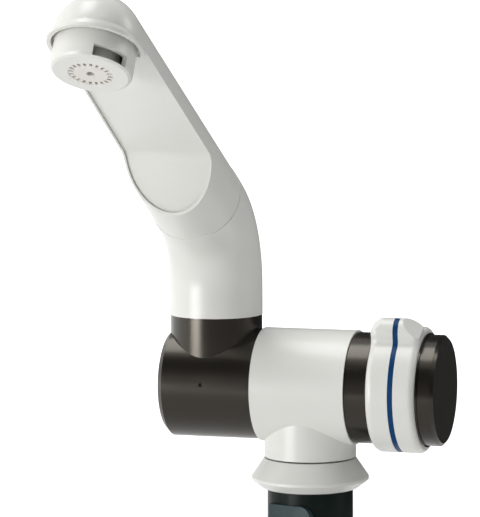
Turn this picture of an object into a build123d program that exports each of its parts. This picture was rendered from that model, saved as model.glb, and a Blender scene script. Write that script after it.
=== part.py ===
from build123d import *
import math
import os

# Fold-down cold water tap. Lengths are in millimetres and angles in degrees.
# Z points up and Z = 0 is the worktop, with the origin on the axis of the foot.
# The barrel lies along X, with the control at +X, and the spout reaches out toward -Y.

# Shared clearances
running_gap = 0.3
slide_fit = 0.05
seat_fit = 0.05
glue_fit = 0.02
ring_fit = 0.03
film = 0.01
overcut = 1.0

# Barrel
barrel_above_rosette = 30.4
body_radius = 17.0
body_left = 14.0
body_right = 14.6
body_wall = 1.85
stem_radius = 13.7
stem_wall = 1.8
stem_below_axis = 21.0
stem_seam = 0.5

# Black parts on the barrel
elbow_radius = 16.45
elbow_length = 28.6
elbow_bevel = 1.5
elbow_end_wall = 2.0
elbow_wall = 3.4
collar_radius = 13.75
collar_wall = 2.1
collar_height = 20.7
neck_radius = 16.45
neck_length = 6.5
neck_web = 1.0
neck_wall = 2.2

# Spout
spout_offset = 29.1
riser_radius = 13.9
riser_wall = 1.8
bend_radius = 27.5
arm_rise = 30.5
arm_vertex_height = 45.4
arm_joint_reach = 8.0
arm_root_radius = 13.7
arm_head_radius = 12.05
arm_wall = 1.8
arm_reach = 121.2
flat_below_axis = 0.8
fold_reach = 52.5
ramp_angle = 44.0
fold_radius = 7.0
cover_recess = 0.6
cover_thickness = 1.4
cover_lip = 0.6
cover_fit = 0.1
tenon_length = 7.5
tenon_wall = 1.7
lip_length = 5.0
lip_wall = 1.6
lip_play = 0.25
joint_flange = 2.0

# Water pipe in the spout
pipe_radius = 3.4
pipe_bore = 2.4
pipe_above_arm_axis = 5.2
pipe_bend_radius = 24.0
pipe_depth = 3.9

# Outlet nozzle
nozzle_radius = 11.2
nozzle_drop = 9.9
nozzle_edge = 1.1
brim_radius = 13.3
brim_drop = 2.2
brim_lip = 0.9
brim_step = 0.7
brim_root = 2.4
brim_wall = 1.2
brim_back = 3.5
brim_fade = 10.0
plate_gap = 0.1
nozzle_skirt = 1.5
nozzle_face = 0.5
nozzle_roof = 1.6
duct_bore = 6.2
duct_wall = 1.2
duct_height = 3.6
stub_radius = 5.0
stub_bore = 2.8
stub_length = 5.4
window_start = 19.0
window_end = 73.0
window_height = 3.2
spray_thickness = 1.2
spray_sink = 0.1
spray_slots = 20
spray_slot_length = 1.3
spray_slot_width = 0.75
spray_ring = 5.3
spray_centre_hole = 1.15
screen_thickness = 0.6
screen_hole_radius = 0.5
screen_rings = 3
screen_spacing = 1.55
screen_holes = 5
block_radius = 8.9
block_socket = 6.0
block_play = 0.15
pipe_seat = 5.0
socket_wall = 1.3

# Control
control_radius = 18.7
control_width = 14.7
control_left_round = 2.1
control_right_round = 1.7
lug_angle = 66.0
lug_centre = 19.6
lug_radius = 4.2
lug_blend = 2.6
lug_left_slope = 3.5
lug_left_fall = 2.6
lug_right_slope = 5.0
lug_right_fall = 4.0
control_wall = 4.6
control_web = 3.0
control_web_at = 4.6
band_at = 7.0
band_width = 1.6
band_depth = 0.9
band_sink = 0.05
flange_radius = 16.9
flange_thickness = 0.5
cap_radius = 16.4
cap_length = 4.8
cap_bevel = 0.9
cap_face = 1.8
cap_wall = 1.8
cap_skirt = 4.0
cap_skirt_radius = 13.2
screw_radius = 1.35
screw_length = 8.0
screw_head_radius = 5.0
screw_head = 1.8
screw_slot = 1.0

# Cartridge
block_gap = 0.1
seat_x = 2.0
disc_radius = 9.8
moving_disc_radius = 9.3
disc_seal_thickness = 1.4
fixed_disc_thickness = 2.6
moving_disc_thickness = 2.6
disc_film = 0.02
port_radius = 2.0
port_offset = 4.5
inlet_land = 0.6
pocket_depth = 1.4
lead_slot_width = 3.0
lead_slot_height = 2.4
sleeve_radius = 10.9
sleeve_wall = 1.0
sleeve_end = 3.1
shaft_radius = 4.5
spindle_flange = 2.4
tongue_width = 4.0
tongue_depth = 1.0
tongue_end = 1.5
cam_low = 5.0
cam_rise = 0.6
cam_turn = 90.0
cam_dwell = 20.0
cam_low_end = 340.0
cam_steps = 72
cam_room = 0.7
cam_width = 4.0
square_side = 6.0
square_fit = 0.05

# Pump switch
switch_width = 10.4
switch_height = 5.4
switch_length = 4.9
switch_below_axis = 7.5
plunger_radius = 1.0
plunger_depth = 1.6
plunger_room = 0.2
peg_radius = 0.9
peg_offset = 3.4
peg_depth = 0.62
terminal_depth = 0.3
terminal_length = 2.2
terminal_thickness = 0.5
terminal_width = 2.0

# Pivot of the spout
pivot_radius = 8.0
pivot_bore = 4.5
pivot_seat = 9.0
pivot_port_radius = 2.2
pivot_ports = 4
port_groove_width = 6.0
port_groove_depth = 0.9
spigot_end_wall = 2.5
clip_width = 1.2
clip_depth = 0.9
clip_reach = 1.6
clip_play = 0.1
clip_opening = 60.0
clip_from_end = 3.0
pin_radius = 0.55
pin_height = 1.3
pin_sink = 1.0
pin_depth = 2.5

# O-rings
oring_section = 1.4
oring_groove = 1.6
ring_land = 0.4

# Foot
rosette_radius = 17.5
rosette_rim_above_seal = 2.8
rosette_foot_radius = 14.2
rosette_rim_up = 0.5
rosette_rim_down = 0.3
rosette_wall = 1.5
rosette_bore_gap = 0.5
seal_proud = 0.4
seal_thickness = 2.0
seal_width = 0.6
shank_radius = 12.75
shank_length = 50.0
shank_bore = 10.9
shoulder_thickness = 4.5
shoulder_height = 3.0
thread_start = 12.0
thread_pitch = 2.0
thread_depth = 0.8
thread_share = 0.42
neck_tube_radius = 9.0
neck_tube_bore = 3.2
neck_tube_top = 16.0
neck_tube_play = 0.2
socket_roof = 2.35
tab_top = 3.4
tab_height = 9.0
tab_width = 13.7
tab_turn = -12.6
tab_corner = 3.3
tab_thickness = 0.5
tab_depth = 2.5
worktop_thickness = 18.0
washer_radius = 19.0
washer_thickness = 2.0
nut_radius = 20.0
nut_height = 9.0
nut_crown = 0.4
nut_bevel = 2.0
barb_radius = 5.0
barb_bore = 3.4
barb_length = 20.0
barb_ridge = 0.7
barb_ridges = 3
barb_slope = 0.7
barb_tip = 0.5
tail_plug_thickness = 6.0
gland_radius = 2.2
gland_bore = 1.4
gland_offset = 8.0
gland_flange = 0.8
gland_rim = 0.4
cable_hole = 1.6
cable_slot = 6.0
cable_from_bore = 2.0
clip_above_seam = 1.2

# Places worked out from the sizes above
axis_height = seal_proud + barrel_above_rosette
seam_height = axis_height - stem_below_axis
elbow_right_x = -body_left - running_gap
elbow_left_x = elbow_right_x - elbow_length
spout_x = -spout_offset
neck_right_x = body_right + neck_length
control_left_x = neck_right_x + running_gap
control_right_x = control_left_x + control_width
web_left_x = control_left_x + control_web_at
web_right_x = web_left_x + control_web
flange_right_x = control_right_x + flange_thickness
cap_right_x = flange_right_x + cap_length
body_bore = body_radius - body_wall
block_body_radius = body_bore - block_gap
stem_bore = stem_radius - stem_wall
socket_radius = stem_bore - block_gap
socket_bore_top = neck_tube_top + neck_tube_play
socket_top = socket_bore_top + socket_roof
inlet_x = seat_x - port_radius - inlet_land
disc_x = seat_x + disc_seal_thickness
moving_x = disc_x + fixed_disc_thickness + disc_film
moving_end_x = moving_x + moving_disc_thickness
flange_x = moving_end_x + spindle_flange
sleeve_x = flange_x + running_gap
sleeve_end_x = sleeve_x + sleeve_end
cam_x = body_right + neck_web + running_gap
arm_turn = 90 - arm_rise
bend_tangent = bend_radius * math.tan(math.radians(arm_turn / 2))
arm_start = bend_tangent + arm_joint_reach
elbow_bore = elbow_radius - elbow_wall
housing_radius = elbow_bore - seat_fit
housing_bore = pivot_radius + slide_fit
housing_left_x = elbow_left_x + elbow_end_wall + running_gap
housing_right_x = elbow_right_x - running_gap
collar_bore = collar_radius - collar_wall
collar_top = axis_height + collar_height
block_left_x = -body_left + running_gap / 2
pivot_left_x = housing_left_x + running_gap
shank_top = shoulder_height
barb_seat_top = shank_top - shoulder_thickness / 2
clip_height = seam_height + clip_above_seam
cable_x = stem_bore - cable_from_bore
cover_depth = cover_recess + cover_thickness
block_floor = -cover_depth - plate_gap
pivot_clip_outer = pivot_radius + clip_reach
swivel_clip_outer = neck_tube_radius + clip_reach
stub_oring_z = block_floor + stub_length - oring_groove


def rod_x(radius, x0, x1, y=0.0, z=0.0):
    """Round bar along the barrel; y and z are measured from the barrel axis."""
    place = Pos((x0 + x1) / 2, y, axis_height + z) * Rot(0, 90, 0)
    return place * Cylinder(radius, x1 - x0)


def tube_x(outer, inner, x0, x1):
    """Plain tube about the barrel axis."""
    return rod_x(outer, x0, x1) - rod_x(inner, x0 - overcut, x1 + overcut)


def rod_z(radius, z0, z1, x=0.0, y=0.0):
    """Upright round bar."""
    return Pos(x, y, (z0 + z1) / 2) * Cylinder(radius, z1 - z0)


def box_between(x0, x1, y0, y1, z0, z1):
    """Box given by its two corners."""
    return Pos((x0 + x1) / 2, (y0 + y1) / 2, (z0 + z1) / 2) * Box(x1 - x0, y1 - y0, z1 - z0)


def turned(points):
    """Solid turned about the Z axis from (radius, height) points."""
    profile = make_face(Polyline([(r, 0, z) for r, z in points], close=True))
    return revolve(profile, Axis.Z, 360)


def oring(seat_radius):
    """O-ring lying in the XY plane that reaches out to a bore of the given radius."""
    section = oring_section / 2
    return Torus(seat_radius - ring_fit - section, section)


def groove_floor(seat_radius):
    """Radius of the groove under an O-ring of the given bore."""
    return seat_radius - 2 * ring_fit - oring_section


def groove(outer, floor, height):
    """Ring-shaped cut in the XY plane, centred on its height."""
    return Cylinder(outer + overcut, height) - Cylinder(floor, height)


def split_ring(outer, inner, height, opening):
    """Flat spring clip with a gap that is opening degrees wide, centred on +X."""
    reach = 2 * outer
    half = math.radians(opening / 2)
    wedge = make_face(Polyline(
        (0, 0), (reach * math.cos(half), reach * math.sin(half)),
        (reach * math.cos(half), -reach * math.sin(half)), close=True))
    gap = Pos(0, 0, -height) * extrude(wedge, 2 * height)
    return Cylinder(outer, height) - Cylinder(inner, height) - gap


def along_x(shape, x):
    """Places a shape that was made about Z on the barrel axis at x."""
    return Pos(x, 0, axis_height) * Rot(0, 90, 0) * shape


def arm_place():
    """Frame of the arm: z runs out along the arm, y points to its upper side."""
    rise = math.radians(arm_rise)
    return Plane(origin=(spout_x, 0, axis_height + arm_vertex_height),
                 x_dir=(1, 0, 0), z_dir=(0, -math.cos(rise), math.sin(rise))).location


def nozzle_place():
    """Frame of the outlet: z points out of the mouth, y points to the head end."""
    return arm_place() * Pos(0, -flat_below_axis, arm_reach) * Rot(90, 0, 0)


def bent_tube(outer, inner, z0, curve, reach, lift=0.0):
    """Upright tube that bends over to run along the arm, lift above the arm's axis."""
    vertex = axis_height + arm_vertex_height + lift / math.cos(math.radians(arm_rise))
    tangent = curve * math.tan(math.radians(arm_turn / 2))
    start = vertex - tangent
    section = Circle(outer) - Circle(inner)
    upright = Pos(spout_x, 0, z0) * extrude(section, start - z0)
    bend = revolve(Pos(spout_x, 0, start) * section, Axis((spout_x, -curve, start), (1, 0, 0)), arm_turn)
    first = tangent + lift * math.tan(math.radians(arm_rise))
    straight = arm_place() * Pos(0, lift, first) * extrude(section, reach - first)
    return upright + bend + straight


def arm_core(shrink):
    """Tapered round arm with its round head, made smaller all round by shrink."""
    root = arm_root_radius - shrink
    head = arm_head_radius - shrink
    length = arm_reach - arm_start
    taper = Pos(0, 0, arm_start + length / 2) * Cone(root, head, length)
    return taper + Pos(0, 0, arm_reach) * Sphere(head)


def above_cut(depth):
    """Everything above the flat underside and its ramp, moved into the arm by depth."""
    angle = math.radians(ramp_angle)
    level = -flat_below_axis + depth
    fold = fold_reach - depth * math.tan(angle / 2)
    run = 4 * arm_root_radius
    far = arm_reach + 2 * arm_head_radius
    foot_z = fold - run * math.cos(angle)
    foot_y = level - run * math.sin(angle)
    points = [(far, level), (fold, level), (foot_z, foot_y), (-run, foot_y), (-run, run), (far, run)]
    outline = make_face(Polyline([(0, y, z) for z, y in points], close=True))
    corner = outline.vertices().sort_by_distance((0, level, fold))[0]
    outline = fillet(corner, fold_radius + depth)
    half = 2 * arm_root_radius
    return extrude(outline, half, dir=(1, 0, 0)) + extrude(outline, half, dir=(-1, 0, 0))


def cover_band(depth, thickness):
    """Layer that follows the cut surface, from depth to depth + thickness."""
    return above_cut(depth) - above_cut(depth + thickness)


def control_outline(inset, x):
    """Outline of the control ring with its thumb lug, drawn in by inset."""
    ring = control_radius - inset
    tip = lug_radius - inset
    blend = lug_blend + inset
    blend_x = ((ring + blend) ** 2 - (tip + blend) ** 2 + lug_centre ** 2) / (2 * lug_centre)
    blend_y = math.sqrt((ring + blend) ** 2 - blend_x ** 2)
    centre = Vector(blend_x, blend_y)
    on_ring = centre * (ring / (ring + blend))
    on_lug = centre + (Vector(lug_centre, 0) - centre) * (blend / (tip + blend))
    middle = centre + ((on_ring + on_lug) * 0.5 - centre).normalized() * blend
    arcs = [
        ThreePointArc(on_ring, (-ring, 0), mirrored(on_ring)),
        ThreePointArc(mirrored(on_ring), mirrored(middle), mirrored(on_lug)),
        ThreePointArc(mirrored(on_lug), (lug_centre + tip, 0), on_lug),
        ThreePointArc(on_lug, middle, on_ring),
    ]
    place = Plane(origin=(x, 0, axis_height), x_dir=(0, 1, 0), z_dir=(1, 0, 0))
    return place * Rot(0, 0, 180 - lug_angle) * make_face(arcs)


def mirrored(point):
    """The same point on the other side of the local X axis."""
    return Vector(point.X, -point.Y)


# Foot

def shank():
    tail_bottom = -shank_length
    plain = rod_z(shank_radius, tail_bottom, shank_top)
    neck = rod_z(neck_tube_radius, shank_top, neck_tube_top)
    shoulder_bottom = shank_top - shoulder_thickness
    tail_bore = rod_z(shank_bore, tail_bottom - overcut, shoulder_bottom)
    water = rod_z(neck_tube_bore, shoulder_bottom - overcut, neck_tube_top + overcut)
    barb_socket = rod_z(barb_radius + seat_fit, shoulder_bottom - overcut, barb_seat_top)
    cable = rod_z(cable_hole, shoulder_bottom - cable_slot, shank_top + overcut, cable_x)
    body = plain + neck - tail_bore - water - barb_socket - cable
    turns = int((shank_length - thread_start - thread_pitch) / thread_pitch)
    for turn in range(turns):
        z = -thread_start - thread_pitch * (turn + 0.5)
        body -= thread_groove(z)
    for z in swivel_rings():
        body -= Pos(0, 0, z) * groove(neck_tube_radius, groove_floor(neck_tube_radius + slide_fit),
                                      oring_groove)
    body -= Pos(0, 0, clip_height) * groove(neck_tube_radius, neck_tube_radius - clip_depth,
                                            clip_width + 2 * slide_fit)
    return body


def thread_groove(z):
    """One thread groove with sloped flanks."""
    half = thread_pitch * thread_share
    floor = shank_radius - thread_depth
    return turned([(shank_radius + film, z - half), (floor, z - half / 3),
                   (floor, z + half / 3), (shank_radius + film, z + half)])


def swivel_rings():
    """Heights of the two O-rings on the neck tube."""
    top = neck_tube_top - oring_groove
    return [top - oring_groove - ring_land, top]


def swivel_orings():
    rings = [Pos(0, 0, z) * oring(neck_tube_radius + slide_fit) for z in swivel_rings()]
    return Compound(rings)


def rosette():
    bottom = seal_proud
    rim = bottom + rosette_rim_above_seal
    top = seam_height - stem_seam
    bore = neck_tube_radius + rosette_bore_gap
    seat = shank_radius + seat_fit
    points = [(bore, shank_top), (bore, top), (stem_radius, top), (rosette_radius, rim + rosette_rim_up),
              (rosette_radius, rim - rosette_rim_down), (rosette_foot_radius, bottom),
              (seat, bottom), (seat, shank_top)]
    flare = turned(points)
    seal_room = rod_z(seat + seal_width + seat_fit, bottom - overcut, seal_thickness)
    annulus = rod_z(stem_bore, shank_top + rosette_wall, top - rosette_wall) - rod_z(bore, shank_top, top)
    cable = rod_z(cable_hole, shank_top - overcut, top + overcut, cable_x)
    return flare - seal_room - annulus - cable


def rosette_seal():
    inner = shank_radius + seat_fit
    return rod_z(inner + seal_width, 0, seal_thickness) - rod_z(inner, -overcut, seal_thickness + overcut)


def locating_tab():
    """Flat pad on the front of the shank, with one round upper corner."""
    reach = shank_radius + tab_thickness
    half = tab_width / 2
    bottom = -tab_top - tab_height
    pad = box_between(reach - tab_depth, reach, -half, half, bottom, -tab_top)
    corner = pad.edges().filter_by(Axis.X).sort_by_distance((reach, half, -tab_top))[0]
    pad = fillet(corner, tab_corner)
    pad -= rod_z(shank_radius + film, bottom - overcut, overcut)
    return Rot(0, 0, tab_turn - 90) * pad


def hose_barb():
    bottom = -shank_length - barb_length
    points = [(barb_bore, barb_seat_top), (barb_radius, barb_seat_top), (barb_radius, -shank_length)]
    step = barb_length / (barb_ridges + 1)
    for ridge in range(barb_ridges):
        z = -shank_length - step * (ridge + 1)
        points += [(barb_radius, z), (barb_radius + barb_ridge, z), (barb_radius, z - step * barb_slope)]
    points += [(barb_radius - barb_tip, bottom), (barb_bore, bottom)]
    return turned(points)


def tail_plug():
    bottom = -shank_length
    top = bottom + tail_plug_thickness
    hose = rod_z(barb_radius + seat_fit, bottom - overcut, top + overcut)
    gland = rod_z(gland_radius, bottom - overcut, top + overcut, gland_offset)
    return rod_z(shank_bore - seat_fit, bottom, top) - hose - gland


def cable_gland():
    low = -shank_length - gland_flange
    top = -shank_length + tail_plug_thickness
    sleeve = rod_z(gland_radius - glue_fit, -shank_length, top, gland_offset)
    rim = rod_z(gland_radius + gland_rim, low, -shank_length, gland_offset)
    return sleeve + rim - rod_z(gland_bore, low - overcut, top + overcut, gland_offset)


def clamp_washer():
    top = -worktop_thickness
    bottom = top - washer_thickness
    bore = rod_z(shank_radius + slide_fit, bottom - overcut, top + overcut)
    return rod_z(washer_radius, bottom, top) - bore


def clamp_nut():
    top = -worktop_thickness - washer_thickness
    bottom = top - nut_height
    edge = nut_radius + nut_crown
    hexagon = Pos(0, 0, bottom) * extrude(RegularPolygon(nut_radius, 6), nut_height)
    crown = turned([(0, bottom), (edge - nut_bevel, bottom), (edge, bottom + nut_bevel),
                    (edge, top), (0, top)])
    bore = rod_z(shank_radius + slide_fit, bottom - overcut, top + overcut)
    return (hexagon & crown) - bore


# Body

def body_shell():
    barrel = rod_x(body_radius, -body_left, body_right)
    stem = rod_z(stem_radius, seam_height, axis_height)
    bore = rod_x(body_bore, -body_left - overcut, body_right + overcut)
    stem_hole = rod_z(stem_bore, seam_height - overcut, axis_height)
    return barrel + stem - bore - stem_hole


def valve_block():
    block = rod_x(block_body_radius, block_left_x, body_right)
    block -= rod_z(socket_radius + seat_fit, 0, socket_top + seat_fit)
    block -= rod_x(sleeve_radius + seat_fit, disc_x, body_right + overcut)
    block -= rod_x(disc_radius + seat_fit, seat_x, body_right)
    block -= rod_x(pivot_radius + seat_fit, block_left_x - overcut, block_left_x + pivot_seat)
    block -= rod_x(port_radius, block_left_x, body_right, -port_offset)
    block -= rod_x(port_radius, inlet_x, body_right, port_offset)
    block -= rod_z(port_radius, 0, axis_height, inlet_x, port_offset)
    bottom = axis_height - body_bore
    half = lead_slot_width / 2
    block -= box_between(cable_x - half, body_right + overcut, -half, half,
                         bottom, bottom + 1.5 * lead_slot_height)
    return block


def swivel_socket():
    bottom = seam_height + running_gap / 2
    socket = rod_z(socket_radius, bottom, socket_top)
    socket -= rod_z(neck_tube_radius + slide_fit, bottom - overcut, socket_bore_top)
    socket -= rod_z(port_radius, bottom, socket_top + overcut, inlet_x, port_offset)
    socket -= Pos(0, 0, clip_height) * Cylinder(swivel_clip_outer + seat_fit, clip_width + 2 * slide_fit)
    return socket


def swivel_clip():
    inner = neck_tube_radius - clip_depth + clip_play
    return Pos(0, 0, clip_height) * split_ring(swivel_clip_outer, inner, clip_width, clip_opening)


def disc_ports(solid, x0, x1):
    """Cuts the two water ports through a plate of the cartridge."""
    for y in (-port_offset, port_offset):
        solid -= rod_x(port_radius, x0 - overcut, x1 + overcut, y)
    return solid


def disc_seal():
    return disc_ports(rod_x(disc_radius, seat_x, disc_x), seat_x, disc_x)


def fixed_disc():
    end = disc_x + fixed_disc_thickness
    return disc_ports(rod_x(disc_radius, disc_x, end), disc_x, end)


def cartridge_sleeve():
    sleeve = rod_x(sleeve_radius, disc_x, sleeve_end_x)
    sleeve -= rod_x(sleeve_radius - sleeve_wall, disc_x - overcut, sleeve_x)
    return sleeve - rod_x(shaft_radius + slide_fit, disc_x, sleeve_end_x + overcut)


def neck_ring():
    ring = rod_x(neck_radius, body_right, neck_right_x)
    ring -= rod_x(neck_radius - neck_wall, body_right + neck_web, neck_right_x + overcut)
    ring -= rod_x(cam_low + cam_rise + cam_room, body_right - overcut, neck_right_x)
    low = axis_height - neck_radius + neck_wall
    half = lead_slot_width / 2
    ring -= box_between(body_right - overcut, body_right + neck_web + overcut, -half, half,
                        low, low + lead_slot_height)
    for side in (-1, 1):
        ring += switch_peg(peg_radius, side)
    return ring


def switch_peg(radius, side):
    """Peg of the neck ring that holds the switch."""
    z = -switch_below_axis - switch_height * peg_depth
    return rod_x(radius, body_right, body_right + neck_web + switch_length, side * peg_offset, z)


def microswitch():
    x0 = body_right + neck_web
    top = axis_height - switch_below_axis
    body = box_between(x0, x0 + switch_length, -switch_width / 2, switch_width / 2,
                       top - switch_height, top)
    for side in (-1, 1):
        body -= switch_peg(peg_radius + seat_fit, side)
    x = x0 + switch_length / 2
    floor = top - plunger_depth - cam_rise - plunger_room
    return body - rod_z(plunger_radius + slide_fit, floor, top + overcut, x)


def switch_terminals():
    x = body_right + neck_web + switch_length / 2
    z = axis_height - switch_below_axis - switch_height * terminal_depth
    blades = []
    for side in (-1, 1):
        y0 = side * switch_width / 2
        y1 = y0 + side * terminal_length
        blades.append(box_between(x - terminal_width / 2, x + terminal_width / 2, min(y0, y1),
                                  max(y0, y1), z - terminal_thickness / 2, z + terminal_thickness / 2))
    return Compound(blades)


def switch_plunger():
    x = body_right + neck_web + switch_length / 2
    top = axis_height - cam_low - slide_fit
    bottom = axis_height - switch_below_axis - plunger_depth
    return rod_z(plunger_radius, bottom, top, x)


def pivot_spigot():
    right = block_left_x + pivot_seat
    tube = rod_x(pivot_radius, pivot_left_x, right)
    tube -= rod_x(pivot_bore, pivot_left_x + spigot_end_wall, right + overcut)
    for z in pivot_rings():
        tube -= along_x(groove(pivot_radius, groove_floor(housing_bore), oring_groove), z)
    tube -= along_x(groove(pivot_radius, pivot_radius - port_groove_depth, port_groove_width), spout_x)
    tube -= along_x(groove(pivot_radius, pivot_radius - clip_depth, clip_width + 2 * slide_fit),
                    pivot_clip_x())
    for port in range(pivot_ports):
        turn = Pos(spout_x, 0, axis_height) * Rot(360 * port / pivot_ports, 0, 0)
        tube -= turn * Pos(0, 0, pivot_radius / 2) * Cylinder(pivot_port_radius, pivot_radius)
    return tube


def pivot_rings():
    """Places of the O-rings on either side of the spout port."""
    reach = port_groove_width / 2 + oring_groove
    return [spout_x - reach, spout_x + reach]


def pivot_clip_x():
    return housing_right_x - clip_from_end


def pivot_orings():
    return Compound([along_x(oring(housing_bore), x) for x in pivot_rings()])


def friction_washer():
    x1 = block_left_x
    x0 = housing_right_x + slide_fit
    return tube_x(housing_radius, pivot_radius + seat_fit, x0, x1)


# Spout

def elbow_shell():
    barrel = rod_x(elbow_radius, elbow_left_x, elbow_right_x)
    barrel = chamfer(barrel.edges().group_by(Axis.X)[0], elbow_bevel)
    collar = rod_z(collar_radius, axis_height, collar_top, spout_x)
    bore = rod_x(elbow_bore, elbow_left_x + elbow_end_wall, elbow_right_x + overcut)
    collar_hole = rod_z(collar_bore, axis_height, collar_top + overcut, spout_x)
    pin_hole = pivot_pin_rod(pin_radius + glue_fit, -overcut)
    return barrel + collar - bore - collar_hole - pin_hole


def pivot_pin_rod(radius, sink):
    """Bar from the front of the elbow, sink below its surface, into the pivot housing."""
    front = -math.sqrt(elbow_radius ** 2 - pin_height ** 2) + sink
    back = -housing_radius + pin_depth
    place = Pos(spout_x, (front + back) / 2, axis_height + pin_height) * Rot(90, 0, 0)
    return place * Cylinder(radius, back - front)


def locking_pin():
    return pivot_pin_rod(pin_radius, pin_sink)


def pivot_housing():
    housing = rod_x(housing_radius, housing_left_x, housing_right_x)
    housing -= rod_x(housing_bore, pivot_left_x - running_gap / 2, housing_right_x + overcut)
    pipe_end = axis_height + housing_radius - pipe_depth
    housing -= rod_z(pipe_radius + seat_fit, pipe_end, axis_height + 2 * housing_radius, spout_x)
    housing -= rod_z(pipe_bore, axis_height, axis_height + housing_radius, spout_x)
    housing -= rod_z(pipe_radius + oring_section + ring_fit, axis_height + housing_radius - oring_groove,
                     axis_height + 2 * housing_radius, spout_x)
    housing -= along_x(Cylinder(pivot_clip_outer + seat_fit, clip_width + 2 * slide_fit), pivot_clip_x())
    return housing - pivot_pin_rod(pin_radius + glue_fit, -overcut)


def pivot_clip():
    inner = pivot_radius - clip_depth + clip_play
    return along_x(split_ring(pivot_clip_outer, inner, clip_width, clip_opening), pivot_clip_x())


def spout_riser():
    """Bent tube with a tenon for the collar below and a lip that goes into the arm above."""
    tube = bent_tube(riser_radius, riser_radius - riser_wall, collar_top, bend_radius, arm_start)
    tenon_radius = collar_bore - seat_fit
    tenon_bottom = collar_top - tenon_length
    flange_top = collar_top + joint_flange
    tenon = rod_z(tenon_radius, tenon_bottom, collar_top, spout_x)
    tenon += rod_z(riser_radius, collar_top, flange_top, spout_x)
    tenon -= rod_z(tenon_radius - tenon_wall, tenon_bottom - overcut, flange_top + overcut, spout_x)
    lip_radius = arm_root_radius - arm_wall - lip_play
    lip = Pos(0, 0, arm_start + lip_length / 2) * Cylinder(lip_radius, lip_length)
    lip += Pos(0, 0, arm_start - joint_flange / 2) * Cylinder(riser_radius - riser_wall / 2, joint_flange)
    lip -= Pos(0, 0, arm_start) * Cylinder(lip_radius - lip_wall, 3 * lip_length)
    return tube + tenon + arm_place() * lip


def arm_shell():
    shell = arm_core(0) & above_cut(0)
    shell -= arm_core(arm_wall)
    shell -= arm_core(cover_lip) & cover_band(-overcut, overcut + cover_depth)
    head = Pos(0, -flat_below_axis, arm_reach) * Rot(90, 0, 0)
    shell += head * head_plate() & arm_core(cover_lip / 2)
    return arm_place() * (shell + head * brim())


def head_plate():
    """Round floor of the head, in the frame of the outlet, with a hole for the stub."""
    plate = Cylinder(brim_radius, cover_depth) - Cylinder(stub_radius + running_gap, 2 * cover_depth)
    return Pos(0, 0, -cover_depth / 2) * plate


def brim():
    """Flared rim of the head round the nozzle, with a stepped lip that fades out along the arm."""
    bore = brim_radius - brim_wall
    step = brim_drop - brim_lip
    ring = turned([(bore, 0), (bore, brim_drop), (brim_radius, brim_drop), (brim_radius, step),
                   (brim_radius - brim_step, step), (arm_head_radius - cover_lip, -brim_root),
                   (arm_head_radius - 2 * cover_lip, -brim_root), (bore - brim_wall, 0)])
    far = 2 * brim_radius
    low = brim_drop + overcut
    high = -brim_root - overcut
    slope = make_face(Polyline([(0, 0, low), (0, -brim_back, low), (0, -brim_back - brim_fade, high),
                                (0, -far, high), (0, -far, far), (0, 0, far)], close=True))
    outside = extrude(slope, far, dir=(1, 0, 0)) + extrude(slope, far, dir=(-1, 0, 0))
    return ring - outside


def arm_cover():
    plate = arm_core(cover_lip + cover_fit) & cover_band(cover_recess, cover_thickness)
    plate = arm_place() * plate
    opening = nozzle_place() * Cylinder(brim_radius + cover_fit, 4 * cover_depth)
    return plate - opening


def water_pipe():
    z0 = axis_height + housing_radius - pipe_depth
    reach = arm_reach - block_socket
    return bent_tube(pipe_radius, pipe_bore, z0, pipe_bend_radius, reach, pipe_above_arm_axis)


def pipe_oring():
    height = axis_height + housing_radius - oring_groove / 2
    section = oring_section / 2
    return Pos(spout_x, 0, height) * Torus(pipe_radius + ring_fit / 2 + section, section - film)


def outlet_block():
    """Core in the head that joins the pipe to the nozzle; z is down, y to the head end."""
    lift = pipe_above_arm_axis + flat_below_axis
    ball_radius = arm_head_radius - arm_wall - block_play
    stub_end = block_floor + stub_length
    drum = Pos(0, 0, block_floor - ball_radius) * Cylinder(block_radius, 2 * ball_radius)
    drum &= Pos(0, 0, -flat_below_axis) * Sphere(ball_radius)
    boss_length = block_socket + pipe_seat
    boss = along_pipe(pipe_radius + socket_wall, 0, boss_length, lift)
    room = Pos(0, 0, block_floor - 2 * ball_radius) * Box(boss_length * 3, boss_length * 3, 4 * ball_radius)
    stub = Pos(0, 0, block_floor + stub_length / 2) * Cylinder(stub_radius, stub_length)
    block = drum + (boss & room) + stub
    block -= along_pipe(pipe_radius + seat_fit, block_socket, 3 * boss_length, lift)
    block -= along_pipe(pipe_bore, 0, 2 * block_socket, lift)
    block -= Pos(0, 0, (stub_end - lift) / 2) * Cylinder(stub_bore, stub_end + lift + film)
    floor = groove_floor(stub_radius + slide_fit)
    block -= Pos(0, 0, stub_oring_z) * groove(stub_radius, floor, oring_groove)
    return nozzle_place() * block


def along_pipe(radius, y0, y1, lift):
    """Round bar in the frame of the outlet that runs back along the pipe, lift above the flat."""
    return Pos(0, -(y0 + y1) / 2, -lift) * Rot(90, 0, 0) * Cylinder(radius, y1 - y0)


def nozzle_oring():
    return nozzle_place() * Pos(0, 0, stub_oring_z) * oring(stub_radius + slide_fit)


def outlet_nozzle():
    """Turned nozzle; z is down and out of the mouth."""
    top = running_gap
    duct_top = nozzle_drop - duct_height
    bore = stub_radius + slide_fit
    outer = turned([(bore, top), (nozzle_radius, top), (nozzle_radius, nozzle_drop - nozzle_edge),
                    (nozzle_radius - nozzle_edge / 3, nozzle_drop - nozzle_edge / 3),
                    (nozzle_radius - nozzle_edge, nozzle_drop), (duct_bore, nozzle_drop),
                    (duct_bore, duct_top), (bore, duct_top)])
    inner_wall = duct_bore + duct_wall
    skirt_bore = nozzle_radius - nozzle_skirt
    hollow = turned([(inner_wall, top + nozzle_roof), (skirt_bore, top + nozzle_roof),
                     (skirt_bore, nozzle_drop - nozzle_face), (inner_wall, nozzle_drop - nozzle_face)])
    return nozzle_place() * (outer - hollow - window_cut())


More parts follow.
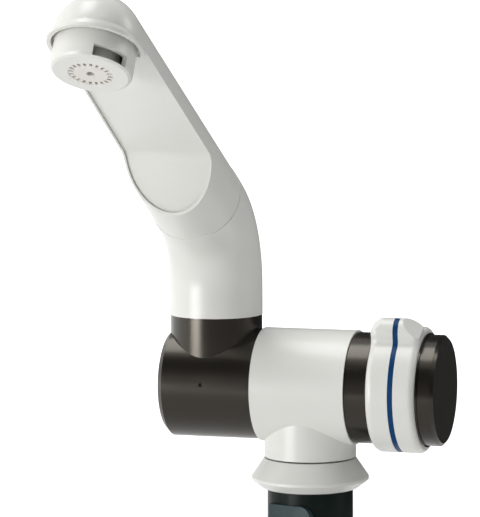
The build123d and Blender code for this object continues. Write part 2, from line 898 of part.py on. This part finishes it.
def window_cut():
    """Window in the skirt, between two angles from the head end."""
    reach = 2 * nozzle_radius
    steps = 5
    angles = [window_start + (window_end - window_start) * i / steps for i in range(steps + 1)]
    fan = [(reach * math.sin(math.radians(a)), reach * math.cos(math.radians(a))) for a in angles]
    sector = make_face(Polyline([(0, 0)] + fan, close=True))
    low = nozzle_drop - nozzle_face
    block = Pos(0, 0, low - window_height) * extrude(sector, window_height)
    return block - Cylinder(duct_bore + duct_wall + running_gap, 4 * nozzle_drop)


def spray_face():
    z = nozzle_drop - spray_sink - spray_thickness / 2
    plate = Cylinder(duct_bore - glue_fit, spray_thickness) - Cylinder(spray_centre_hole, 3 * spray_thickness)
    slot = Pos(spray_ring, 0, 0) * Box(spray_slot_length, spray_slot_width, 3 * spray_thickness)
    for place in range(spray_slots):
        plate -= Rot(0, 0, 360 * place / spray_slots) * slot
    return nozzle_place() * Pos(0, 0, z) * plate


def flow_screen():
    z = nozzle_drop - duct_height + screen_thickness / 2
    plate = Cylinder(duct_bore - glue_fit, screen_thickness)
    for ring in range(1, screen_rings + 1):
        radius = ring * screen_spacing
        count = screen_holes * ring
        for hole in range(count):
            angle = math.radians(360 * hole / count)
            place = Pos(radius * math.cos(angle), radius * math.sin(angle))
            plate -= place * Cylinder(screen_hole_radius, 3 * screen_thickness)
    return nozzle_place() * Pos(0, 0, z) * plate


# Control

def control_ring():
    solid = extrude(control_outline(0, control_left_x), control_width)
    solid = fillet(solid.edges().group_by(Axis.X)[0], control_left_round)
    solid = fillet(solid.edges().group_by(Axis.X)[-1], control_right_round)
    solid &= along_x(lug_crown(), control_left_x)
    bore = control_radius - control_wall
    solid -= rod_x(bore, control_left_x - overcut, web_left_x)
    solid -= rod_x(bore, web_right_x, control_right_x + overcut)
    half = square_side / 2 + square_fit
    solid -= box_between(web_left_x - overcut, web_right_x + overcut, -half, half,
                         axis_height - half, axis_height + half)
    x0 = control_left_x + band_at
    channel = extrude(control_outline(-overcut, x0), band_width)
    channel -= extrude(control_outline(band_depth, x0 - overcut), band_width + 2 * overcut)
    return solid - channel


def lug_crown():
    """Space about Z that takes the ends of the lug down toward the ring."""
    top = lug_centre + lug_radius
    return turned([(0, 0), (top - lug_left_fall, 0), (top, lug_left_slope),
                   (top, control_width - lug_right_slope), (top - lug_right_fall, control_width),
                   (0, control_width)])


def blue_band():
    x0 = control_left_x + band_at + glue_fit
    width = band_width - 2 * glue_fit
    band = extrude(control_outline(band_sink, x0), width)
    return band - extrude(control_outline(band_depth - glue_fit, x0 - overcut), width + 2 * overcut)


def control_flange():
    return tube_x(flange_radius, cap_skirt_radius + seat_fit, control_right_x, flange_right_x)


def end_cap():
    cap = rod_x(cap_radius, flange_right_x, cap_right_x)
    cap = chamfer(cap.edges().group_by(Axis.X)[-1], cap_bevel)
    skirt_x = flange_right_x - cap_skirt
    cap += rod_x(cap_skirt_radius, skirt_x, flange_right_x)
    return cap - rod_x(cap_skirt_radius - cap_wall, skirt_x - overcut, cap_right_x - cap_face)


def control_screw():
    head_x = web_right_x + screw_head
    reach = screw_head_radius - screw_slot
    head = rod_x(screw_head_radius, web_right_x, head_x)
    head -= box_between(head_x - screw_head / 2, head_x + overcut, -screw_slot / 2, screw_slot / 2,
                        axis_height - reach, axis_height + reach)
    return head + rod_x(screw_radius, web_right_x - screw_length, web_right_x)


def spindle():
    """Flange with a driving tongue, round shaft, cam for the switch and a square for the control."""
    tongue = moving_disc_radius - tongue_end
    solid = rod_x(moving_disc_radius, moving_end_x, flange_x)
    solid += box_between(moving_end_x - tongue_depth, moving_end_x, -tongue_width / 2, tongue_width / 2,
                         axis_height - tongue, axis_height + tongue)
    solid += rod_x(shaft_radius, flange_x, web_left_x - running_gap)
    floor = groove_floor(shaft_radius + slide_fit)
    solid -= along_x(groove(shaft_radius, floor, oring_groove), sleeve_x + sleeve_end / 2)
    solid += cam()
    half = square_side / 2
    solid += box_between(web_left_x - overcut, web_right_x - clip_play, -half, half,
                         axis_height - half, axis_height + half)
    tip_x = web_right_x - screw_length - running_gap
    return solid - rod_x(screw_radius + glue_fit, tip_x, web_right_x + overcut)


def cam():
    """Cam whose radius grows evenly over the turn, and falls back behind it."""
    place = Plane(origin=(cam_x, 0, axis_height), x_dir=(0, 1, 0), z_dir=(1, 0, 0))
    points = [cam_point(360 * step / cam_steps) for step in range(cam_steps)]
    face = make_face(Polyline(points, close=True))
    return extrude(place * face, cam_width)


def cam_point(angle):
    """Point of the cam's outline; the angle is measured back from the plunger's side."""
    dwell_end = cam_turn + cam_dwell
    if angle <= cam_turn:
        rise = cam_rise * angle / cam_turn
    elif angle <= dwell_end:
        rise = cam_rise
    else:
        rise = cam_rise * max(0.0, (cam_low_end - angle) / (cam_low_end - dwell_end))
    radius = cam_low + rise
    turn = math.radians(-90 - angle)
    return (radius * math.cos(turn), radius * math.sin(turn))


def spindle_oring():
    return along_x(oring(shaft_radius + slide_fit), sleeve_x + sleeve_end / 2)


def moving_disc():
    disc = rod_x(moving_disc_radius, moving_x, moving_end_x)
    pocket_x = moving_x - overcut
    pocket_end_x = moving_x + pocket_depth
    pocket = box_between(pocket_x, pocket_end_x, -port_radius, port_radius,
                         axis_height - port_offset, axis_height + port_offset)
    for side in (-1, 1):
        pocket += rod_x(port_radius, pocket_x, pocket_end_x, 0, side * port_offset)
    half = tongue_width / 2 + seat_fit
    reach = moving_disc_radius + overcut
    slot = box_between(moving_end_x - tongue_depth, moving_end_x + overcut, -half, half,
                       axis_height - reach, axis_height + reach)
    return disc - pocket - slot


nodes = {
    "shank": shank, "swivel_orings": swivel_orings, "rosette": rosette, "rosette_seal": rosette_seal,
    "locating_tab": locating_tab, "hose_barb": hose_barb, "tail_plug": tail_plug,
    "cable_gland": cable_gland, "clamp_washer": clamp_washer, "clamp_nut": clamp_nut,
    "body_shell": body_shell, "valve_block": valve_block, "swivel_socket": swivel_socket,
    "swivel_clip": swivel_clip, "disc_seal": disc_seal, "fixed_disc": fixed_disc,
    "cartridge_sleeve": cartridge_sleeve, "neck_ring": neck_ring, "microswitch": microswitch,
    "switch_terminals": switch_terminals, "switch_plunger": switch_plunger,
    "pivot_spigot": pivot_spigot, "pivot_orings": pivot_orings, "friction_washer": friction_washer,
    "elbow_shell": elbow_shell, "locking_pin": locking_pin, "pivot_housing": pivot_housing,
    "pivot_clip": pivot_clip, "spout_riser": spout_riser, "arm_shell": arm_shell,
    "arm_cover": arm_cover, "water_pipe": water_pipe, "pipe_oring": pipe_oring,
    "outlet_block": outlet_block, "nozzle_oring": nozzle_oring, "outlet_nozzle": outlet_nozzle,
    "spray_face": spray_face, "flow_screen": flow_screen, "control_ring": control_ring,
    "blue_band": blue_band, "control_flange": control_flange, "end_cap": end_cap,
    "control_screw": control_screw, "spindle": spindle, "spindle_oring": spindle_oring,
    "moving_disc": moving_disc,
}

os.makedirs("parts", exist_ok=True)
for name, make in nodes.items():
    solid = make()
    export_step(solid, "parts/" + name + ".step")
    print(name, round(solid.volume, 1))
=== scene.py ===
import math

import bmesh
import bpy
from mathutils import Matrix, Vector


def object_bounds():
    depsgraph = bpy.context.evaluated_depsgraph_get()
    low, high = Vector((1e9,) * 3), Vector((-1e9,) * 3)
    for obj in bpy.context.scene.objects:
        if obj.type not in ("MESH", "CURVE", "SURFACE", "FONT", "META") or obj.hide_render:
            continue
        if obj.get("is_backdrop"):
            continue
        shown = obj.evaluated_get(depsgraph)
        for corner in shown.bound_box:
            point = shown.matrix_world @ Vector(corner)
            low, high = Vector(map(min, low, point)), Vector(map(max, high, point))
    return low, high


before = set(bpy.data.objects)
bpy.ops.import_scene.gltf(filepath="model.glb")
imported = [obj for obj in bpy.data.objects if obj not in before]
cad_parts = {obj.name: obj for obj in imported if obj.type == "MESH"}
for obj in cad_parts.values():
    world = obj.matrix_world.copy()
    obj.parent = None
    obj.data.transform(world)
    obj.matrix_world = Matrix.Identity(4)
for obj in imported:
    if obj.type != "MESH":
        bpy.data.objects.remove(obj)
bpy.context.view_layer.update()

# Camera: where the photograph was taken from, found by fitting it to the barrel and the foot.
# The pivot is the point where the axis of the barrel meets the axis of the foot.
photo_width = 480
photo_height = 517
camera_azimuth = math.radians(17.066)
camera_elevation = math.radians(6.043)
camera_roll = math.radians(-0.306)
camera_depth = 0.9702
pivot = Vector((0.0, 0.0, 0.0308))
pivot_pixel = (310.0, 385.4)
focal_pixels = 3255.7
sensor_size = 36.0

# Plain colours
white = (1.0, 1.0, 1.0, 1.0)
black = (0.0, 0.0, 0.0, 1.0)

# Light of the surroundings, as a share of white
ambient_strength = 0.54

# Soft lamps: where each one stands, its width and height in metres, and its power in watts
lamp_target = Vector((0.0, -0.03, 0.06))
lamps = {
    "key": dict(place=(-0.58, -0.82, 0.14), size=(0.26, 0.41), power=3.3),
    "top": dict(place=(-0.36, -0.04, 1.22), size=(0.75, 0.45), power=5.7),
    "left": dict(place=(-1.50, -0.20, 0.45), size=(0.80, 0.80), power=1.8),
    "rim": dict(place=(1.10, 0.55, 0.75), size=(0.50, 0.50), power=3.6),
}

# Screens round the tap. The dark ones give the black parts their depth, and the right one also keeps
# light off the right-hand side. The low bright one gives the collar its upright streak.
# Each is part of an upright round wall: its radius, its first and last azimuth in degrees (0 is the
# front, 90 the right), its top, its glow, and whether it shades what is not shiny too.
screens = {
    "front_screen": dict(radius=0.85, span=(-25.0, 75.0), top=1.1, glow=0.08, shades=False),
    "left_screen": dict(radius=1.15, span=(-58.0, -24.0), top=1.6, glow=0.08, shades=False),
    "streak_card": dict(radius=1.05, span=(-50.0, -23.0), top=0.05, glow=13.0, shades=False),
    "right_screen": dict(radius=0.95, span=(18.0, 90.0), top=1.3, glow=0.12, shades=True),
    "back_screen": dict(radius=0.25, span=(110.0, 200.0), top=0.4, glow=0.06, shades=False),
}
screen_steps = 24

# Floor under the tap, low enough for the spout when it is folded down; its glow grows from near to far
floor_gap = 0.0195
floor_radius = 12.0
floor_sides = 96
floor_roughness = 0.9
floor_shine = 0.1
floor_pale = (0.86, 0.90)
floor_patches = 8.0
floor_detail = 6.0
glow_levels = (0.15, 1.0)
glow_distances = (0.35, 0.95)

# Softened edges: their widths in metres, their steps, the least angle that counts as an edge, the
# largest that counts as flat, and how near points are joined, in metres
fine_edge = 0.00012
usual_edge = 0.00025
edge_steps = 3
edge_angle = math.radians(32)
flat_angle = math.radians(0.8)
weld_distance = 0.000002

# Noises of the surfaces: the useful middle of their values, the detail of clouds and of grain, how much
# finer the patches of roughness are than the clouds, and the stretch that brushing gives
noise_middle = (0.15, 0.85)
patch_detail = 1.5
grain_detail = 2.0
gloss_scale = 1.7
brushed = (1.0, 1.0, 12.0)

# Strength of a surface's reflections, where its finish gives none
usual_shine = 0.5

# Finishes: the light and dark colour of the clouds in linear light, the least and most roughness,
# the patches and the grain as features a metre, and the depth of the grain in metres
finishes = {
    "white": dict(name="white_plastic", light=(0.765, 0.765, 0.730, 1.0), dark=(0.745, 0.745, 0.705, 1.0),
                  roughness=(0.29, 0.35), patches=30.0, grain=1500.0, relief=0.000001),
    # Black: its warm colour and the warm tint of its reflections stand in for brownish surroundings that it
    # reflects, a painted reflection colour
    "black": dict(name="black_plastic", light=(0.0100, 0.0088, 0.0066, 1.0),
                  dark=(0.0074, 0.0064, 0.0048, 1.0), roughness=(0.20, 0.265), patches=60.0, grain=1800.0,
                  relief=0.0000015, gloss=(0.98, 0.90, 0.78, 1.0)),
    "shank": dict(name="shank_plastic", light=(0.006, 0.013, 0.011, 1.0), dark=(0.003, 0.008, 0.0065, 1.0),
                  roughness=(0.34, 0.50), patches=90.0, grain=1600.0, relief=0.000004, shine=0.1),
    "tab": dict(name="tab_plastic", light=(0.030, 0.055, 0.061, 1.0), dark=(0.022, 0.042, 0.047, 1.0),
                roughness=(0.40, 0.58), patches=180.0, grain=2200.0, relief=0.000008, shine=0.2),
    "grey": dict(name="grey_plastic", light=(0.100, 0.115, 0.120, 1.0), dark=(0.060, 0.072, 0.078, 1.0),
                 roughness=(0.38, 0.52), patches=90.0, grain=1600.0, relief=0.00001),
    "blue": dict(name="blue_plastic", light=(0.001, 0.048, 0.160, 1.0), dark=(0.001, 0.034, 0.112, 1.0),
                 roughness=(0.29, 0.40), patches=120.0, grain=1600.0, relief=0.000002, shine=0.12),
    "rubber": dict(name="rubber_seal", light=(0.022, 0.022, 0.022, 1.0), dark=(0.010, 0.010, 0.010, 1.0),
                   roughness=(0.60, 0.80), patches=150.0, grain=2600.0, relief=0.00002),
    "steel": dict(name="stainless_steel", light=(0.640, 0.630, 0.610, 1.0), dark=(0.420, 0.415, 0.400, 1.0),
                  roughness=(0.29, 0.42), patches=120.0, grain=1800.0, relief=0.000008, metallic=1.0,
                  stretch=brushed),
    "brass": dict(name="switch_brass", light=(0.780, 0.580, 0.270, 1.0), dark=(0.560, 0.390, 0.160, 1.0),
                  roughness=(0.29, 0.42), patches=200.0, grain=1800.0, relief=0.000006, metallic=1.0),
    "ceramic": dict(name="ceramic_disc", light=(0.880, 0.870, 0.840, 1.0), dark=(0.800, 0.790, 0.760, 1.0),
                    roughness=(0.10, 0.18), patches=80.0, grain=900.0, relief=0.000002),
    "rose": dict(name="rose_plastic", light=(0.765, 0.735, 0.695, 1.0), dark=(0.735, 0.695, 0.650, 1.0),
                 roughness=(0.30, 0.46), patches=260.0, grain=1800.0, relief=0.000004),
    # Mesh: the flow screen is stainless steel, coloured near black as painted shade so that its holes read
    # dark
    "mesh": dict(name="painted_dark_screen_mesh", light=(0.050, 0.045, 0.040, 1.0), dark=(0.020, 0.018, 0.016, 1.0),
                 roughness=(0.40, 0.60), patches=400.0, grain=2600.0, relief=0.00001, metallic=1.0),
}

# The parts of the tap that have each finish
finish_of = {
    "white": ["rosette", "body_shell", "spout_riser", "arm_shell", "arm_cover", "outlet_nozzle",
              "control_ring"],
    "black": ["elbow_shell", "neck_ring", "control_flange", "end_cap", "locking_pin", "microswitch",
              "switch_plunger"],
    "shank": ["shank"],
    "tab": ["locating_tab"],
    "grey": ["hose_barb", "tail_plug", "clamp_nut", "valve_block", "swivel_socket", "cartridge_sleeve",
             "pivot_spigot", "pivot_housing", "water_pipe", "outlet_block", "spindle"],
    "blue": ["blue_band"],
    "rubber": ["swivel_orings", "rosette_seal", "cable_gland", "disc_seal", "pivot_orings", "pipe_oring",
               "nozzle_oring", "spindle_oring"],
    "steel": ["clamp_washer", "swivel_clip", "pivot_clip", "control_screw"],
    "mesh": ["flow_screen"],
    "brass": ["switch_terminals"],
    "ceramic": ["fixed_disc", "moving_disc"],
    "rose": ["spray_face", "friction_washer"],
}

# Width of the softened edge of the parts that have one
edge_of = {
    "arm_cover": fine_edge, "shank": fine_edge, "locating_tab": fine_edge, "clamp_nut": usual_edge,
    "clamp_washer": usual_edge, "hose_barb": fine_edge,
}


def add_node(tree, kind, **values):
    """New shader node; a value named after an input is set on that input."""
    node = tree.nodes.new(kind)
    for name, value in values.items():
        if name in node.inputs:
            node.inputs[name].default_value = value
        else:
            setattr(node, name, value)
    return node


def noise(tree, coordinates, scale, detail, stretch=None):
    """Noise over the object's own coordinates, at so many features a metre."""
    node = add_node(tree, "ShaderNodeTexNoise", Scale=scale, Detail=detail)
    source = coordinates
    if stretch:
        mapping = add_node(tree, "ShaderNodeMapping", Scale=stretch)
        tree.links.new(coordinates, mapping.inputs["Vector"])
        source = mapping.outputs["Vector"]
    tree.links.new(source, node.inputs["Vector"])
    return node.outputs["Fac"]


def map_range(tree, value, before, after):
    """Maps a value from the first range to the second, and holds it inside that."""
    node = add_node(tree, "ShaderNodeMapRange")
    node.inputs["From Min"].default_value, node.inputs["From Max"].default_value = before
    node.inputs["To Min"].default_value, node.inputs["To Max"].default_value = after
    tree.links.new(value, node.inputs["Value"])
    return node.outputs["Result"]


def surface(name, light, dark, roughness, patches, grain, relief, metallic=0.0, stretch=None,
            shine=usual_shine, gloss=white):
    """Moulded or machined surface: cloudy colour, uneven roughness and a fine relief."""
    material = bpy.data.materials.new(name)
    material.use_nodes = True
    tree = material.node_tree
    shader = tree.nodes["Principled BSDF"]
    shader.inputs["Metallic"].default_value = metallic
    shader.inputs["Specular IOR Level"].default_value = shine
    # Tint of the reflections; on the black finish it is a painted warm reflection colour
    shader.inputs["Specular Tint"].default_value = gloss
    coordinates = add_node(tree, "ShaderNodeTexCoord").outputs["Object"]
    cloud = noise(tree, coordinates, patches, patch_detail)
    mix = add_node(tree, "ShaderNodeMix", data_type="RGBA")
    colour_in = [socket for socket in mix.inputs if socket.type == "RGBA"]
    colour_in[0].default_value = dark
    colour_in[1].default_value = light
    tree.links.new(map_range(tree, cloud, noise_middle, (0.0, 1.0)), mix.inputs["Factor"])
    colour_out = [socket for socket in mix.outputs if socket.type == "RGBA"][0]
    tree.links.new(colour_out, shader.inputs["Base Color"])
    wear = noise(tree, coordinates, patches * gloss_scale, patch_detail, stretch)
    tree.links.new(map_range(tree, wear, noise_middle, roughness), shader.inputs["Roughness"])
    bump = add_node(tree, "ShaderNodeBump", Strength=1.0, Distance=relief)
    tree.links.new(noise(tree, coordinates, grain, grain_detail, stretch), bump.inputs["Height"])
    tree.links.new(bump.outputs["Normal"], shader.inputs["Normal"])
    return material


def soften(node, width):
    """Joins the facets of a part into faces and rounds its sharp edges a little."""
    node.data.shade_smooth()
    weld = node.modifiers.new("weld", "WELD")
    weld.merge_threshold = weld_distance
    join = node.modifiers.new("join", "DECIMATE")
    join.decimate_type = "DISSOLVE"
    join.angle_limit = flat_angle
    bevel = node.modifiers.new("edge", "BEVEL")
    bevel.width = width
    bevel.segments = edge_steps
    bevel.limit_method = "ANGLE"
    bevel.angle_limit = edge_angle
    bevel.use_clamp_overlap = True
    bevel.harden_normals = True


def dress_parts():
    """Gives each part its finish, and some of them softened edges."""
    for finish, settings in finishes.items():
        material = surface(**settings)
        for name in finish_of[finish]:
            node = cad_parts[name]
            node.data.materials.clear()
            node.data.materials.append(material)
    for name, width in edge_of.items():
        soften(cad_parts[name], width)


def white_rays(tree, seen, other):
    """One strength for camera, glossy and transmission rays, and the other one for all the rest."""
    path = add_node(tree, "ShaderNodeLightPath")
    first = add_node(tree, "ShaderNodeMath", operation="MAXIMUM")
    tree.links.new(path.outputs["Is Camera Ray"], first.inputs[0])
    tree.links.new(path.outputs["Is Glossy Ray"], first.inputs[1])
    second = add_node(tree, "ShaderNodeMath", operation="MAXIMUM")
    tree.links.new(first.outputs["Value"], second.inputs[0])
    tree.links.new(path.outputs["Is Transmission Ray"], second.inputs[1])
    return map_range(tree, second.outputs["Value"], (0.0, 1.0), (other, seen))


def make_floor():
    """Pale floor that is white to the camera and keeps the shadow of the tap."""
    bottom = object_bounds()[0].z - floor_gap
    shape = bmesh.new()
    bmesh.ops.create_circle(shape, cap_ends=True, segments=floor_sides, radius=floor_radius)
    mesh = bpy.data.meshes.new("floor")
    shape.to_mesh(mesh)
    shape.free()
    floor = bpy.data.objects.new("floor", mesh)
    floor.location = (0, 0, bottom)
    bpy.context.scene.collection.objects.link(floor)
    material = bpy.data.materials.new("floor_paper")
    material.use_nodes = True
    tree = material.node_tree
    shader = tree.nodes["Principled BSDF"]
    shader.inputs["Roughness"].default_value = floor_roughness
    shader.inputs["Specular IOR Level"].default_value = floor_shine
    coordinates = add_node(tree, "ShaderNodeTexCoord").outputs["Object"]
    paper = map_range(tree, noise(tree, coordinates, floor_patches, floor_detail), noise_middle, floor_pale)
    tint = add_node(tree, "ShaderNodeCombineColor")
    for channel in ("Red", "Green", "Blue"):
        tree.links.new(paper, tint.inputs[channel])
    tree.links.new(tint.outputs["Color"], shader.inputs["Base Color"])
    shader.inputs["Emission Color"].default_value = white
    distance = add_node(tree, "ShaderNodeVectorMath", operation="LENGTH")
    tree.links.new(coordinates, distance.inputs["Vector"])
    glow = map_range(tree, distance.outputs["Value"], glow_distances, glow_levels)
    shown = add_node(tree, "ShaderNodeMath", operation="MULTIPLY")
    tree.links.new(glow, shown.inputs[0])
    tree.links.new(white_rays(tree, 1.0, 0.0), shown.inputs[1])
    tree.links.new(shown.outputs["Value"], shader.inputs["Emission Strength"])
    mesh.materials.append(material)
    floor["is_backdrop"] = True


def make_world():
    """White surroundings to the camera and in reflections, which light the tap less than they show."""
    world = bpy.data.worlds.new("studio")
    world.use_nodes = True
    bpy.context.scene.world = world
    tree = world.node_tree
    background = tree.nodes["Background"]
    background.inputs["Color"].default_value = white
    tree.links.new(white_rays(tree, 1.0, ambient_strength), background.inputs["Strength"])


def make_lamps():
    """Soft oblong lamps that all face the tap."""
    for name, settings in lamps.items():
        data = bpy.data.lights.new(name, "AREA")
        data.shape = "RECTANGLE"
        data.size, data.size_y = settings["size"]
        data.energy = settings["power"]
        lamp = bpy.data.objects.new(name, data)
        lamp.location = settings["place"]
        lamp.visible_camera = False
        lamp.rotation_mode = "QUATERNION"
        lamp.rotation_quaternion = (lamp_target - Vector(settings["place"])).to_track_quat("-Z", "Y")
        bpy.context.scene.collection.objects.link(lamp)


def screen_material(name, glow):
    """Black that reflects nothing and only glows."""
    material = bpy.data.materials.new(name)
    material.use_nodes = True
    shader = material.node_tree.nodes["Principled BSDF"]
    shader.inputs["Base Color"].default_value = black
    shader.inputs["Specular IOR Level"].default_value = 0.0
    shader.inputs["Emission Color"].default_value = white
    shader.inputs["Emission Strength"].default_value = glow
    return material


def make_screens():
    """Curved screens round the tap, which the camera doesn't see."""
    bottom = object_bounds()[0].z - floor_gap
    for name, settings in screens.items():
        first, last = settings["span"]
        points = []
        for step in range(screen_steps + 1):
            azimuth = math.radians(first + (last - first) * step / screen_steps)
            x = settings["radius"] * math.sin(azimuth)
            y = -settings["radius"] * math.cos(azimuth)
            points += [(x, y, bottom), (x, y, settings["top"])]
        faces = [(k, k + 2, k + 3, k + 1) for k in range(0, 2 * screen_steps, 2)]
        mesh = bpy.data.meshes.new(name)
        mesh.from_pydata(points, [], faces)
        mesh.materials.append(screen_material(name, settings["glow"]))
        screen = bpy.data.objects.new(name, mesh)
        bpy.context.scene.collection.objects.link(screen)
        screen.visible_camera = False
        screen.visible_shadow = settings["shades"]
        screen.visible_diffuse = settings["shades"]
        screen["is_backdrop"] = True


def make_camera():
    """Camera that sees the pivot at its pixel of the photograph, from the fitted direction."""
    azimuth = camera_azimuth
    elevation = camera_elevation
    back = Vector((math.sin(azimuth) * math.cos(elevation), -math.cos(azimuth) * math.cos(elevation),
                   math.sin(elevation)))
    side = Vector((math.cos(azimuth), math.sin(azimuth), 0.0))
    top = back.cross(side)
    right = side * math.cos(camera_roll) + top * math.sin(camera_roll)
    up = top * math.cos(camera_roll) - side * math.sin(camera_roll)
    offset_x = (pivot_pixel[0] - photo_width / 2) / focal_pixels
    offset_y = -(pivot_pixel[1] - photo_height / 2) / focal_pixels
    data = bpy.data.cameras.new("camera")
    data.sensor_width = sensor_size
    data.lens = focal_pixels * sensor_size / max(photo_width, photo_height)
    camera = bpy.data.objects.new("camera", data)
    place = pivot - (right * offset_x + up * offset_y - back) * camera_depth
    camera.matrix_world = Matrix.Translation(place) @ Matrix((right, up, back)).transposed().to_4x4()
    bpy.context.scene.collection.objects.link(camera)
    bpy.context.scene.camera = camera


dress_parts()
make_floor()
make_world()
make_lamps()
make_screens()
make_camera()
bpy.context.scene.view_settings.view_transform = "Standard"
